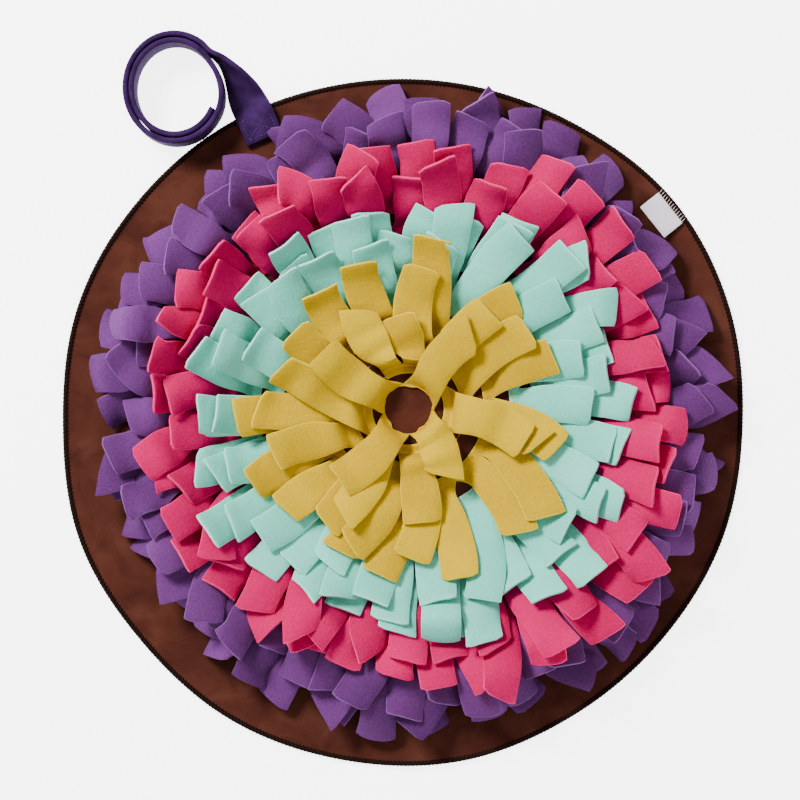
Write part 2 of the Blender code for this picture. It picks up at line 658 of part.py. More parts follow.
def strap_stations():
    """Middle, heading and turn of the strap's sections: the lead by hand, then the coil wound."""
    stops = [(Vector((x, y, z)), turn) for x, y, z, turn in STRAP_LEAD]
    for step in range(COIL_STEPS + 1):
        wound = COIL_TURN * step / COIL_STEPS
        share = min(max((wound - COIL_STEP_IN[0]) / (COIL_STEP_IN[1] - COIL_STEP_IN[0]), 0.0), 1.0)
        eased = share * share * (3 - 2 * share)
        half_x = COIL_OUTER[0] + (COIL_INNER[0] - COIL_OUTER[0]) * eased
        half_y = COIL_OUTER[1] + (COIL_INNER[1] - COIL_OUTER[1]) * eased
        angle = math.radians(COIL_START + wound)
        offset = Vector((half_x * math.cos(angle), half_y * math.sin(angle), 0.5 * STRAP_WIDTH))
        stops.append((COIL_CENTRE + offset, 90))
    return stops


def strap_sections(pile):
    """Four corners for each section of the strap, lifted where they would cut what they cross."""
    stops = strap_stations()
    sections = []
    for place, (middle, turn) in enumerate(stops):
        before = stops[max(place - 1, 0)][0]
        after = stops[min(place + 1, len(stops) - 1)][0]
        forward = after - before
        forward.z = 0.0
        forward.normalize()
        left = Vector((-forward.y, forward.x, 0.0))
        angle = math.radians(turn)
        width = left * math.cos(angle) - Vector((0, 0, math.sin(angle)))
        face = Vector((0, 0, math.cos(angle))) + left * math.sin(angle)
        half, thick = 0.5 * STRAP_WIDTH * width, 0.5 * WEBBING * face
        corners = [middle + half + thick, middle - half + thick, middle + half - thick, middle - half - thick]
        points = np.array([corners[2].lerp(corners[3], share) for share in np.linspace(0, 1, 30)])
        below = pile.under(points)
        short = float((below + np.where(below > 0, CLEARANCE, 0.0) - points[:, 2]).max())
        lift = Vector((0, 0, max(short, 0.0)))
        sections.append([np.array(corner + lift) for corner in corners])
    return sections


def strap(pile):
    """The webbing strap: sewn end, twist onto its edge, and two turns of its coil."""
    sections = strap_sections(pile)
    bm = bmesh.new()
    bmesh.ops.create_cube(bm, size=1.0)
    for vert in bm.verts:
        corner = (0 if vert.co.z > 0 else 2) + (0 if vert.co.y > 0 else 1)
        vert.co = sections[1 if vert.co.x > 0 else 0][corner]
    goal = Vector(sum(sections[2]) / 4)
    leading = min(bm.faces, key=lambda face: (face.calc_center_median() - goal).length)
    draw_out(bm, [leading], sections[2:])
    for first, second in zip(sections, sections[1:]):
        for one, two in ((0, 1), (2, 3), (0, 2), (1, 3)):
            pile.lay(face_points((first[one], first[two], second[one], second[two])))
    return finish(bm, "strap", "strap")


# ---------- label ----------

def label(pile):
    """The blank woven label: a small sheet by the rim, its inner side a little off the cloth."""
    bm = bmesh.new()
    bmesh.ops.create_grid(bm, x_segments=4, y_segments=6, size=0.5)
    turned = math.radians(LABEL_BEARING)
    for vert in bm.verts:
        inward = 0.5 - vert.co.x
        along = Vector((vert.co.x * LABEL_SIZE[1], vert.co.y * LABEL_SIZE[0], 0.0))
        along.rotate(Matrix.Rotation(turned, 3, "Z"))
        vert.co = LABEL_CENTRE + along
        vert.co.z = LABEL_LIFT * inward * inward
    points = np.concatenate([face_points([face.verts[k].co for k in (0, 1, 3, 2)]) for face in bm.faces])
    rest = float((pile.under(points) - points[:, 2]).max()) + CLEARANCE
    for vert in bm.verts:
        vert.co.z += rest
    pile.lay(points + (0.0, 0.0, rest + LABEL_THICKNESS))
    thing = finish(bm, "label", "label")
    wall = thing.modifiers.new("cloth", "SOLIDIFY")
    wall.thickness = LABEL_THICKNESS
    wall.offset = 1.0
    return thing


# ---------- build ----------

base()
pile = Pile()
strap(pile)
label(pile)
draw = random.Random(SEED)
for row in reversed(ROWS):
    row_of_strips(row, pile, draw)
print("highest point", round(float(pile.top.max()), 4))
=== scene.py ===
# %% [markdown]
# # A snuffle mat
#
# A snuffle mat is a round base cloth with rows of fleece strips sewn on it, for hiding dry food in.
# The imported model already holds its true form: the base, eleven rows of strips, a webbing strap and
# a label. This lesson dresses that model. Each plain solid is replaced by a finer cloth that lies on
# the very same folds, and each cloth gets a material with its own nap, fuzz or weave.

# %% Setup
import math
import random

import bmesh
import bpy
import numpy as np
from mathutils import Matrix, Vector


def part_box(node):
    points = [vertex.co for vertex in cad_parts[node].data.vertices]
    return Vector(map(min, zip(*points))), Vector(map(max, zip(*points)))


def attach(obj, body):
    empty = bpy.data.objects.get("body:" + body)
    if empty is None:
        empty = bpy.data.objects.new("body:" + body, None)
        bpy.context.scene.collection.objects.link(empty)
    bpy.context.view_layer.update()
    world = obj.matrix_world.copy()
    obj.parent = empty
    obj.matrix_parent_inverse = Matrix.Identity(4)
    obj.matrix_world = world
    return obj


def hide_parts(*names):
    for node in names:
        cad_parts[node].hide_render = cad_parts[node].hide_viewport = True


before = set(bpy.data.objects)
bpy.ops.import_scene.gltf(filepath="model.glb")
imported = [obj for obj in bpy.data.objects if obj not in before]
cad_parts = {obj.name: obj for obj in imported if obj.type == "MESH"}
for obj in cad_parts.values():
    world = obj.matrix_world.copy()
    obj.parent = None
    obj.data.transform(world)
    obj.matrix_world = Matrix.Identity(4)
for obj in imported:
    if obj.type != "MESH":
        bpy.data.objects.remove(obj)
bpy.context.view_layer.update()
MM = 0.001
UP = Vector((0.0, 0.0, 1.0))

# %% [markdown]
# ## Helpers
#
# A colour is easiest to choose as an sRGB hex value, but shaders calculate with linear light, so one
# function turns the first into the second. Another adds a shader node together with its settings and
# its links, which keeps each material readable as a list of steps. `piece` turns a finished bmesh
# into a piece that rides on the mat, and `thicken` turns a thin sheet into cloth with soft edges. The
# last three are for shapes: a point at a bearing, a smooth step, and waves that run round the mat.


# %% Helpers
def linear(hex_colour):
    """A linear RGBA colour from an sRGB hex value."""
    channels = [int(hex_colour[place:place + 2], 16) / 255 for place in (0, 2, 4)]
    return (*[one / 12.92 if one <= 0.04045 else ((one + 0.055) / 1.055) ** 2.4 for one in channels], 1.0)


def add(tree, kind, settings=None, links=None):
    """Add a node, give its inputs and properties their values, and link other nodes' outputs to it."""
    node = tree.nodes.new(kind)
    for name, value in (settings or {}).items():
        if isinstance(name, int) or name in node.inputs:
            node.inputs[name].default_value = value
        else:
            setattr(node, name, value)
    for name, source in (links or {}).items():
        tree.links.new(source, node.inputs[name])
    return node


def new_material(name, values):
    """A material whose Principled shader has the values, and a node for the places patterns read."""
    material = bpy.data.materials.new(name)
    material.use_nodes = True
    tree = material.node_tree
    shader = tree.nodes["Principled BSDF"]
    for input_name, value in values.items():
        shader.inputs[input_name].default_value = value
    return material, tree, shader, add(tree, "ShaderNodeTexCoord")


def piece(bm, name, materials):
    """Turn a bmesh into a named piece of the mat, shaded smooth, on the mat's only body."""
    mesh = bpy.data.meshes.new(name)
    bm.to_mesh(mesh)
    bm.free()
    for material in materials:
        mesh.materials.append(material)
    mesh.shade_smooth()
    made = bpy.data.objects.new(name, mesh)
    bpy.context.scene.collection.objects.link(made)
    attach(made, "root")
    return made


def thicken(sheet, thickness, softness):
    """Give a sheet its thickness and soft edges; both modifiers come back for finer settings."""
    wall = sheet.modifiers.new("thickness", "SOLIDIFY")
    wall.thickness = thickness
    wall.offset = 0.0
    edge = sheet.modifiers.new("soft edges", "BEVEL")
    edge.width = softness
    edge.segments = 2
    edge.limit_method = "ANGLE"
    edge.angle_limit = math.radians(50)
    return wall, edge


def polar(radius, bearing, centre=Vector((0.0, 0.0, 0.0)), height=0.0):
    """The point at a radius and a bearing in degrees from a centre."""
    angle = math.radians(bearing)
    return centre + Vector((radius * math.cos(angle), radius * math.sin(angle), height))


def ease(share):
    """A smooth step from 0 to 1."""
    share = min(max(share, 0.0), 1.0)
    return share * share * (3.0 - 2.0 * share)


def waves(bearing, parts):
    """The height at a bearing of some waves: how many go round, how high each is, where it starts."""
    angle = math.radians(bearing)
    return sum(height * math.sin(count * angle + start) for count, height, start in parts)


# %% [markdown]
# ## Camera, floor and light
#
# The mat is seen from straight above, with its strap towards the upper left. A long lens from 1.5 m
# keeps the picture nearly flat, as in a catalogue photo. The floor is a light table: a white sheet that
# glows, so that it stays pale round the mat. The light from above is soft: one broad lamp on the upper
# left side for form, and a wider dim one for the other side.

# %% Camera
CAMERA_HEIGHT = 1.5
PICTURE_SIDE = 0.528        # how much of the floor the square picture takes in
PICTURE_MIDDLE = (-0.0013, 0.0158)

camera = bpy.data.objects.new("camera", bpy.data.cameras.new("camera"))
camera.location = (*PICTURE_MIDDLE, CAMERA_HEIGHT)
camera.data.lens = camera.data.sensor_width * CAMERA_HEIGHT / PICTURE_SIDE
bpy.context.scene.collection.objects.link(camera)
bpy.context.scene.camera = camera
print("lens mm:", round(camera.data.lens, 1))


# %% Floor
FLOOR_REACH = 4.0           # from its middle to each side
FLOOR_DROP = 0.2 * MM       # keeps its face clear of the cloth's underside
FLOOR_GRAIN = 40 * MM
FLOOR_GLOW = 4.6


def floor():
    """A wide plain sheet of translucent white plastic, lit from below."""
    bm = bmesh.new()
    bmesh.ops.create_grid(bm, x_segments=1, y_segments=1, size=FLOOR_REACH)
    mesh = bpy.data.meshes.new("floor")
    bm.to_mesh(mesh)
    bm.free()
    material, tree, shader, place = new_material("matt_white_plastic", {
        "Roughness": 0.9, "Specular IOR Level": 0.1,
        "Emission Color": linear("ffffff"), "Emission Strength": FLOOR_GLOW,
    })
    grain = add(tree, "ShaderNodeTexNoise", {"Scale": 1 / FLOOR_GRAIN}, {"Vector": place.outputs["Object"]})
    tone = add(tree, "ShaderNodeMix", {"data_type": "RGBA", 6: linear("fbfbfb"), 7: linear("ffffff")},
               {0: grain.outputs["Fac"]})
    tree.links.new(tone.outputs[2], shader.inputs["Base Color"])
    mesh.materials.append(material)
    made = bpy.data.objects.new("floor", mesh)
    made.location.z = -FLOOR_DROP
    bpy.context.scene.collection.objects.link(made)
    print("floor side in metres:", 2 * FLOOR_REACH)


floor()

# %% Light
LAMPS = (
    # name, place, side in metres, watts
    ("key", (-1.1, 1.15, 1.4), 0.6, 84.0),
    ("fill", (1.2, -0.9, 1.9), 1.8, 12.0),
)
WORLD_LIGHT = 0.55

for name, place, side, watts in LAMPS:
    lamp = bpy.data.lights.new(name, "AREA")
    lamp.size = side
    lamp.energy = watts
    holder = bpy.data.objects.new(name, lamp)
    holder.location = place
    holder.rotation_euler = (-Vector(place)).to_track_quat("-Z", "Y").to_euler()
    bpy.context.scene.collection.objects.link(holder)

world = bpy.data.worlds.new("white_room")
world.use_nodes = True
background = world.node_tree.nodes["Background"]
background.inputs["Color"].default_value = linear("ffffff")
background.inputs["Strength"].default_value = WORLD_LIGHT
bpy.context.scene.world = world
print("lamps:", len(LAMPS))

# %% [markdown]
# ## Fleece
#
# The strips are cut from polyester fleece 2 mm thick: a knit whose loops are brushed up into a soft
# felt-like fuzz. To the eye that means no gloss at all, a faint glow at grazing angles (sheen), soft
# clouds where the fuzz lies differently, and a paler line along each cut edge. That line is partly the
# fibres that stand out there and partly a painted highlight where the edge catches the light. The fuzz
# itself is about 0.3 mm, too fine to show at this distance, so it is drawn at 1.2 mm.
#
# Each strip also carries a number of its own, the attribute `tone`, so that no two neighbours have
# quite the same shade.

# %% Fleece materials
FUZZ = 1.2 * MM
TUFTS = 3.5 * MM
CLOUDS = 22 * MM
CLOUD_SHARE = 0.4           # how strongly the clouds colour the fleece
TUFT_SHARE = 0.6            # how high the tufts stand beside the fuzz

FLEECE = {
    # colour: (where the nap is light, where it is deep, along cut edges with a painted highlight)
    "yellow": ("dab400", "b48a00", "ecd648"),
    "mint": ("84e2cf", "5ec8b3", "c2f2e6"),
    "pink": ("d80062", "a80042", "e83c80"),
    "purple": ("683674", "442050", "7c5490"),
}


def fleece(colour, part):
    """Brushed polyester fleece of one colour, for its faces or for its cut edges, which carry a painted
    highlight.
    """
    light, deep, cut = FLEECE[colour]
    material, tree, shader, place = new_material("fleece_" + colour + "_" + part, {
        "Roughness": 0.95, "Specular IOR Level": 0.1,
        "Sheen Weight": 0.12, "Sheen Roughness": 0.6, "Sheen Tint": linear(light),
    })
    clouds = add(tree, "ShaderNodeTexNoise", {"Scale": 1 / CLOUDS, "Detail": 2.0},
                 {"Vector": place.outputs["Object"]})
    tufts = add(tree, "ShaderNodeTexNoise", {"Scale": 1 / TUFTS, "Detail": 2.0},
                {"Vector": place.outputs["Object"]})
    fuzz = add(tree, "ShaderNodeTexNoise", {"Scale": 1 / FUZZ, "Detail": 3.0, "Roughness": 0.65},
               {"Vector": place.outputs["Object"]})
    tone = add(tree, "ShaderNodeAttribute", {"attribute_name": "tone"})
    mixed = add(tree, "ShaderNodeMath", {"operation": "MULTIPLY_ADD", 1: CLOUD_SHARE},
                {0: clouds.outputs["Fac"], 2: tone.outputs["Fac"]})
    grain = add(tree, "ShaderNodeMapRange", {"From Min": 0.32, "From Max": 0.68, "To Max": 0.55},
                {"Value": fuzz.outputs["Fac"]})
    faded = add(tree, "ShaderNodeMath", {"operation": "ADD", "use_clamp": True},
                {0: grain.outputs["Result"], 1: mixed.outputs[0]})
    # The cut edges' paler colour is partly the fibres that stand out there and partly a painted highlight.
    colours = (cut, light) if part == "cut_edge_highlight" else (deep, light)
    face = add(tree, "ShaderNodeMix",
               {"data_type": "RGBA", 6: linear(colours[0]), 7: linear(colours[1])},
               {0: faded.outputs[0]})
    height = add(tree, "ShaderNodeMath", {"operation": "MULTIPLY_ADD", 1: TUFT_SHARE},
                 {0: tufts.outputs["Fac"], 2: fuzz.outputs["Fac"]})
    bump = add(tree, "ShaderNodeBump", {"Strength": 0.6, "Distance": 0.8 * MM},
               {"Height": height.outputs[0]})
    tree.links.new(face.outputs[2], shader.inputs["Base Color"])
    tree.links.new(bump.outputs["Normal"], shader.inputs["Normal"])
    return material


FLEECE_MATERIALS = {colour: (fleece(colour, "face"), fleece(colour, "cut_edge_highlight")) for colour in FLEECE}
print("fleece colours:", sorted(FLEECE_MATERIALS))

# %% [markdown]
# ## Reading the strips from the solids
#
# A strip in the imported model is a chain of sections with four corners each, drawn out of the uncut
# band that is sewn to the base. The finer strips must lie exactly there, so their sections are read
# from the solids and not written down again. A copy of a row's mesh is merged, its band is told apart
# by its two heights and two radii, and what hangs together without the band is one strip. From the
# band outwards, each next ring of corners is the next section. Which corner is upper, lower, left or
# right follows from the way that the strip runs.

# %% Sizes of the rows
HEART = Vector((0.0040, 0.0099, 0.0))    # the middle of all rows
FLEECE_THICKNESS = 2 * MM
BAND_LOW = 2.8 * MM
BAND_TOP = BAND_LOW + FLEECE_THICKNESS
BAND_MIDDLE = (BAND_LOW + BAND_TOP) / 2
SAME_PLACE = 0.05 * MM      # how far a corner may lie off its band
SAME_POINT = 0.02 * MM      # how far apart two corners that are one may lie

ROWS = (
    # name, colour, inner and outer radius of its uncut band
    ("yellow_row_1", "yellow", 0.0157, 0.0168),
    ("yellow_row_2", "yellow", 0.0235, 0.0295),
    ("yellow_row_3", "yellow", 0.0350, 0.0425),
    ("yellow_row_4", "yellow", 0.0500, 0.0570),
    ("mint_row_1", "mint", 0.0670, 0.0735),
    ("mint_row_2", "mint", 0.0820, 0.0890),
    ("mint_row_3", "mint", 0.0970, 0.1040),
    ("pink_row_1", "pink", 0.1130, 0.1200),
    ("pink_row_2", "pink", 0.1290, 0.1350),
    ("purple_row_1", "purple", 0.1445, 0.1510),
    ("purple_row_2", "purple", 0.1600, 0.1660),
)


# %% Reading
def merged_copy(node):
    """A merged copy of a solid's loose triangles."""
    bm = bmesh.new()
    bm.from_mesh(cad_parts[node].data)
    bmesh.ops.remove_doubles(bm, verts=bm.verts, dist=SAME_POINT)
    return bm


def rings_from(start, within):
    """Corners within a chain, ring by ring away from the ones it starts with."""
    rings = [set(start)]
    seen = set(start)
    while rings[-1]:
        ring = {edge.other_vert(vert) for vert in rings[-1] for edge in vert.link_edges}
        rings.append({vert for vert in ring if vert in within and vert not in seen})
        seen |= rings[-1]
    return rings[:-1]


def sorted_section(corners, across):
    """The middles of a section's left and right side; `across` points to the left."""
    first = corners[0]
    partner = min(corners[1:], key=lambda corner: (corner - first).length)
    others = [corner for corner in corners if corner is not first and corner is not partner]
    sides = [(first + partner) / 2, (others[0] + others[1]) / 2]
    if (sides[0] - sides[1]).dot(across) < 0:
        sides.reverse()
    return sides


def chain_sides(root, rings):
    """Left and right line of a chain: the middles of its sides from the root to the tip."""
    lines = [root]
    for ring in rings:
        corners = [vert.co.copy() for vert in ring]
        lines.append(sorted_section(corners, lines[-1][0] - lines[-1][1]))
    return np.array([[tuple(side) for side in line] for line in lines])


def read_strips(node, start, end):
    """Left and right lines of each strip of a row, in order of bearing, root first."""
    bm = merged_copy(node)

    def of_band(vert):
        radius = (vert.co - HEART).xy.length
        level = min(abs(vert.co.z - BAND_LOW), abs(vert.co.z - BAND_TOP)) < SAME_PLACE
        return level and min(abs(radius - start), abs(radius - end)) < SAME_PLACE

    band = {vert for vert in bm.verts if of_band(vert)}
    loose = set(bm.verts) - band
    strips = []
    while loose:
        seed = next(iter(loose))
        whole = set().union(*rings_from([seed], loose))
        loose -= whole
        first = {vert for vert in whole if any(edge.other_vert(vert) in band for edge in vert.link_edges)}
        feet = {edge.other_vert(vert) for vert in first for edge in vert.link_edges} & band
        middle = sum((vert.co for vert in feet), Vector()) / len(feet) - HEART
        sideways = UP.cross(middle).normalized()
        feet = sorted(feet, key=lambda vert: vert.co.dot(sideways))
        right, left = feet[0].co.copy(), feet[-1].co.copy()
        right.z = left.z = BAND_MIDDLE
        sides = chain_sides([left, right], rings_from(first, whole))
        strips.append((math.degrees(math.atan2(middle.y, middle.x)) % 360.0, sides))
    bm.free()
    return [sides for _, sides in sorted(strips, key=lambda strip: strip[0])]


STRIPS = {node: read_strips(node, start, end) for node, _, start, end in ROWS}
print("strips read:", sum(len(strips) for strips in STRIPS.values()))

# %% [markdown]
# ## From a few sections to a soft strip
#
# A smooth curve through the left sides and another through the right sides hold the strip's real
# surface. A grid is laid between them. What makes it look cut from cloth is small: a slight crown
# across its width, corners that curl, a tip that isn't cut quite square, edges that wander by a
# millimetre. None of it is more than a few millimetres, so strips that lie on each other in the solids
# still do so here. The grid starts in the band, and neighbours are merged there, so that the row is
# one cloth, slit from its edge, as a maker cuts it. Solidify then gives it its 2 mm, with the cut edges
# in their own material, and a small Bevel rounds them.

# %% How a strip is dressed
CELLS_ALONG = 17
CELLS_ACROSS = 6
BAND_CELLS = 2
PUCKER = {"yellow_row_1": 1.5 * MM}     # how unevenly the uncut edge is gathered, where it shows
PUCKER_WAVES = ((3, 0.6, 0.4), (8, 0.4, 0.0), (13, 0.3, 0.0))
BEVEL = 0.55 * MM
LOWEST = 3.7 * MM           # the middle of a strip that lies flat on the base

# Where along a strip each of these has its full effect, or where it starts.
CROWN_BY = 0.5
RIPPLE_BY = 0.4
CURL_FROM = 0.62
ROUNDED_FROM = 0.7

# The least and the most of what one strip differs in from the next, whatever its colour.
SLANT = (-1.4, 1.4)         # of its colour's slant
BOW = (-1.3 * MM, 1.3 * MM)
ROUNDING = (0.2 * MM, 2.6 * MM)
RIPPLE = (0.1 * MM, 0.5 * MM)
TONE = (-0.12, 0.32)

DRESS = {
    # colour: crown across (least, most), curl of a corner (least, most), slant of the cut
    "yellow": {"crown": (0.2 * MM, 2.2 * MM), "curl": (-0.9 * MM, 3.4 * MM), "slant": 2.4 * MM},
    "mint": {"crown": (1.0 * MM, 2.8 * MM), "curl": (-1.2 * MM, 2.8 * MM), "slant": 2.6 * MM},
    "pink": {"crown": (1.4 * MM, 3.4 * MM), "curl": (-1.2 * MM, 3.8 * MM), "slant": 3.0 * MM},
    "purple": {"crown": (1.4 * MM, 3.4 * MM), "curl": (-1.2 * MM, 4.4 * MM), "slant": 3.0 * MM},
}


def drawn_habit(dress, draw):
    """What sets one strip apart from the next, drawn at random."""
    return {
        "crown": draw.uniform(*dress["crown"]),
        "curls": [draw.uniform(*dress["curl"]) for _ in range(2)],
        "slant": draw.uniform(*SLANT) * dress["slant"],
        "bow": draw.uniform(*BOW),
        "rounding": [draw.uniform(*ROUNDING) for _ in range(2)],
        "ripple": draw.uniform(*RIPPLE),
        "phase": draw.uniform(0.0, math.tau),
        "tone": draw.uniform(*TONE),
    }


def lifted(habit, share, side):
    """How far a place on a strip stands above its smooth surface: crown, curled corners and ripple."""
    crown = habit["crown"] * (1 - side * side) * ease(share / CROWN_BY)
    corner = (habit["curls"][0] * (1 + side) + habit["curls"][1] * (1 - side)) / 2
    curl = corner * ease((share - CURL_FROM) / (1 - CURL_FROM)) ** 2
    ripple = habit["ripple"] * math.sin(7 * share + 2 * side + habit["phase"]) * ease(share / RIPPLE_BY)
    return crown + curl + ripple


def shifted(habit, share, side):
    """How far it is moved towards the tip: by the slant of the cut, less what rounds its corner."""
    rounding = habit["rounding"][side > 0] * side ** 6
    rounding *= ease((share - ROUNDED_FROM) / (1 - ROUNDED_FROM))
    return habit["slant"] * side * share ** 3 - rounding


# %% Smooth surfaces
def smooth_through(points, places, wanted):
    """Points on the smooth curve through given points, whose slopes their neighbours give."""
    slopes = np.gradient(points, places, axis=0)
    slopes[0, ..., 2] *= 0.3    # a strip leaves its band nearly level
    piece_of = np.clip(np.searchsorted(places, wanted, side="right") - 1, 0, len(places) - 2)
    width = places[piece_of + 1] - places[piece_of]
    share = (wanted - places[piece_of]) / width
    shape = (slice(None),) + (None,) * (points.ndim - 1)
    share, width = share[shape], width[shape]
    return ((1 + 2 * share) * (1 - share) ** 2 * points[piece_of]
            + share * (1 - share) ** 2 * width * slopes[piece_of]
            + share ** 2 * (3 - 2 * share) * points[piece_of + 1]
            + share ** 2 * (share - 1) * width * slopes[piece_of + 1])


def lengths_along(sides):
    """How far along its middle line each section of a strip lies."""
    steps = np.linalg.norm(np.diff(sides.mean(axis=1), axis=0), axis=1)
    return np.concatenate(([0.0], np.cumsum(steps)))


def fine_surface(sides, steps):
    """A strip's middle line, the half of its width, its way forward and its way up, at even steps."""
    places = lengths_along(sides)
    fine = smooth_through(sides, places, np.linspace(0.0, places[-1], steps + 1))
    middle, half = fine.mean(axis=1), 0.5 * (fine[:, 0] - fine[:, 1])
    forward = np.gradient(middle, axis=0)
    above = np.cross(forward, half)
    forward, above = (way / np.linalg.norm(way, axis=1)[:, None] for way in (forward, above))
    return middle, half, forward, above


# %% One strip
def fine_strip(bm, tone, sides, bearings, band, pucker, habit):
    """Add one strip to its row's mesh, with its part of the band."""
    start, end = band
    places = lengths_along(sides)
    middle, half, forward, above = fine_surface(sides, CELLS_ALONG)
    rows = BAND_CELLS + CELLS_ALONG
    grid = bmesh.ops.create_grid(bm, x_segments=rows, y_segments=CELLS_ACROSS, size=0.5, calc_uvs=True)
    for vert in grid["verts"]:
        vert[tone] = habit["tone"]
        step = round((vert.co.x + 0.5) * rows) - BAND_CELLS
        side = 2.0 * vert.co.y
        bearing = bearings[0] + (bearings[1] - bearings[0]) * (side + 1) / 2
        if step <= 0:
            inwards = -step / BAND_CELLS
            gathered = pucker * waves(bearing, PUCKER_WAVES)
            vert.co = polar(end + (start - end + gathered) * inwards, bearing, HEART, BAND_MIDDLE)
            continue
        share = step / CELLS_ALONG
        point = middle[step] + half[step] * side * (1 + 0.025 * math.sin(9 * share + habit["phase"]))
        # Up to its first section, a strip's root bends from the chord of its solid to the band's arc.
        rooted = max(1.0 - share * places[-1] / places[1], 0.0) ** 2
        arc = np.array(polar(end, bearing, HEART, BAND_MIDDLE))
        chord = sides[0].mean(axis=0) + 0.5 * (sides[0, 0] - sides[0, 1]) * side
        bowed = habit["bow"] * math.sin(math.pi * share) / max(np.linalg.norm(half[step]), MM)
        vert.co = Vector(point + (arc - chord) * rooted + above[step] * lifted(habit, share, side)
                         + forward[step] * shifted(habit, share, side) + half[step] * bowed)
        vert.co.z = max(vert.co.z, LOWEST)


# %% [markdown]
# ## The rows
#
# A row is cut from one length of fleece, as wide as its strips and band together and as long as all
# its strips side by side, and gathered round. Here it is built as one cloth in place of its solid.

# %% Rows
WIDEST_GAP = 30.0           # degrees between two feet, past which a row's band ends


def foot_bearings(strips):
    """Between which bearings each strip's part of the band lies: its feet, and half of each gap."""
    feet = [[math.degrees(math.atan2(*(foot - np.array(HEART))[1::-1])) % 360.0 for foot in sides[0]]
            for sides in strips]
    bearings = []
    for number, (left, right) in enumerate(feet):
        gaps = [(right - feet[number - 1][0]) % 360.0, (feet[(number + 1) % len(feet)][1] - left) % 360.0]
        before, after = [gap / 2 if gap < WIDEST_GAP else 0.0 for gap in gaps]
        bearings.append((right - before, right + (left - right) % 360.0 + after))
    return bearings


def fleece_row(node, colour, start, end, draw):
    """One row of strips as one slit cloth, in place of its solid."""
    bm = bmesh.new()
    bm.loops.layers.uv.verify()
    tone = bm.verts.layers.float.new("tone")
    strips = STRIPS[node]
    for sides, bearings in zip(strips, foot_bearings(strips)):
        habit = drawn_habit(DRESS[colour], draw)
        fine_strip(bm, tone, sides, bearings, (start, end), PUCKER.get(node, 0.0), habit)
    bmesh.ops.remove_doubles(bm, verts=bm.verts, dist=SAME_PLACE)
    row = piece(bm, node + "_fleece", FLEECE_MATERIALS[colour])
    wall, edge = thicken(row, FLEECE_THICKNESS, BEVEL)
    wall.material_offset_rim = 1
    edge.material = 1
    edge.miter_outer = "MITER_ARC"      # a sharp miter would shoot out at the end of a slit
    edge.loop_slide = False
    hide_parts(node)
    return row


draw = random.Random(5)
for node, colour, start, end in ROWS:
    made = fleece_row(node, colour, start, end, draw)
    print(made.name, "strips:", len(STRIPS[node]), "cells:", len(made.data.polygons))

# %% [markdown]
# ## The base cloth
#
# The base is one round of brown velour: a knit with a very short dense nap. The nap catches the light
# in patches, wherever a hand has brushed it. Its outline isn't a true circle, and its free border
# lies in slow waves. The outline is a smooth closed curve through a few radii, and the cloth is spun
# from its section and then drawn out to it. The folds from its packing are soft troughs, each a short
# line with a width and a depth.

# %% Base sizes
BASE_THICKNESS = 2.5 * MM
RIM_WIDTH = 3.4 * MM
RIM_RISE = 0.8 * MM
RIM_WAVE = 1.2 * MM
RIM_WAVES = ((5, 0.3, 0.6), (9, 0.2, 2.1))
FREE_BORDER = 16 * MM
BASE_STEPS = 240
BASE_REACH = 227 * MM       # the radius that its section is drawn for
FOLDED_FROM = 160 * MM      # the packing's folds are seen outside the rows
FOLD_END = 4                # each soft end takes up one part in four of its fold

# Radius of the base by bearing, every 20 degrees from +X.
OUTLINE = (
    0.2247, 0.2294, 0.2320, 0.2286, 0.2277, 0.2277, 0.2288, 0.2280, 0.2274,
    0.2237, 0.2261, 0.2237, 0.2254, 0.2251, 0.2257, 0.2231, 0.2228, 0.2247,
)

TROUGHS = (
    # from x, from y, to x, to y, width, depth (all millimetres)
    (-214, 30, -168, -64, 9, 0.7), (-208, -60, -176, -104, 8, 0.6), (-150, -160, -96, -178, 10, 0.7),
    (-40, -222, -22, -178, 8, 0.6), (60, -214, 96, -170, 9, 0.6), (150, -150, 206, -70, 10, 0.7),
    (222, 10, 184, 60, 8, 0.5), (204, 84, 170, 120, 9, 0.6), (-192, 110, -160, 144, 9, 0.6),
    (-60, 214, -120, 176, 8, 0.5), (-216, -20, -206, 60, 7, 0.5),
)


def outline(bearing):
    """Radius of the base at a bearing, on a smooth closed curve through the few given ones."""
    place = (bearing % 360.0) / (360.0 / len(OUTLINE))
    line = int(place)
    share = place - line
    one, two, three, four = (OUTLINE[(line + shift) % len(OUTLINE)] for shift in (-1, 0, 1, 2))
    return two + 0.5 * share * (three - one + share * (2 * one - 5 * two + 4 * three - four
                                                       + share * (3 * (two - three) + four - one)))


def rim_lift(bearing, radius):
    """How far the free border stands off the floor: slow waves that die out inwards."""
    share = min(max(1.0 - (outline(bearing) - radius) / FREE_BORDER, 0.0), 1.0)
    return RIM_WAVE * (0.5 + waves(bearing, RIM_WAVES)) * share * share


def trough_depth(x, y):
    """How deep the soft folds are at a point."""
    point = Vector((x, y))
    deepest = 0.0
    for from_x, from_y, to_x, to_y, width, depth in TROUGHS:
        start = Vector((from_x, from_y)) * MM
        arm = Vector((to_x, to_y)) * MM - start
        share = min(max((point - start).dot(arm) / arm.length_squared, 0.0), 1.0)
        off = (point - start - arm * share).length / (width * MM)
        ends = ease(FOLD_END * share) * ease(FOLD_END * (1 - share))
        deepest = max(deepest, depth * MM * ends * math.exp(-off * off))
    return deepest


# %% Base materials
NAP = 1.0 * MM              # a real one is about 0.4 mm, too fine to show
NAP_SHARE = 0.22            # how strongly the nap colours the cloth beside the patches
BRUSHED = 26 * MM
DRIFT = 60 * MM             # over how far the patches bend, and how much
DRIFT_BY = (30 * MM, 30 * MM, 0.0)
TWIST = 0.8 * MM            # of a thread; a real one is about 0.4 mm


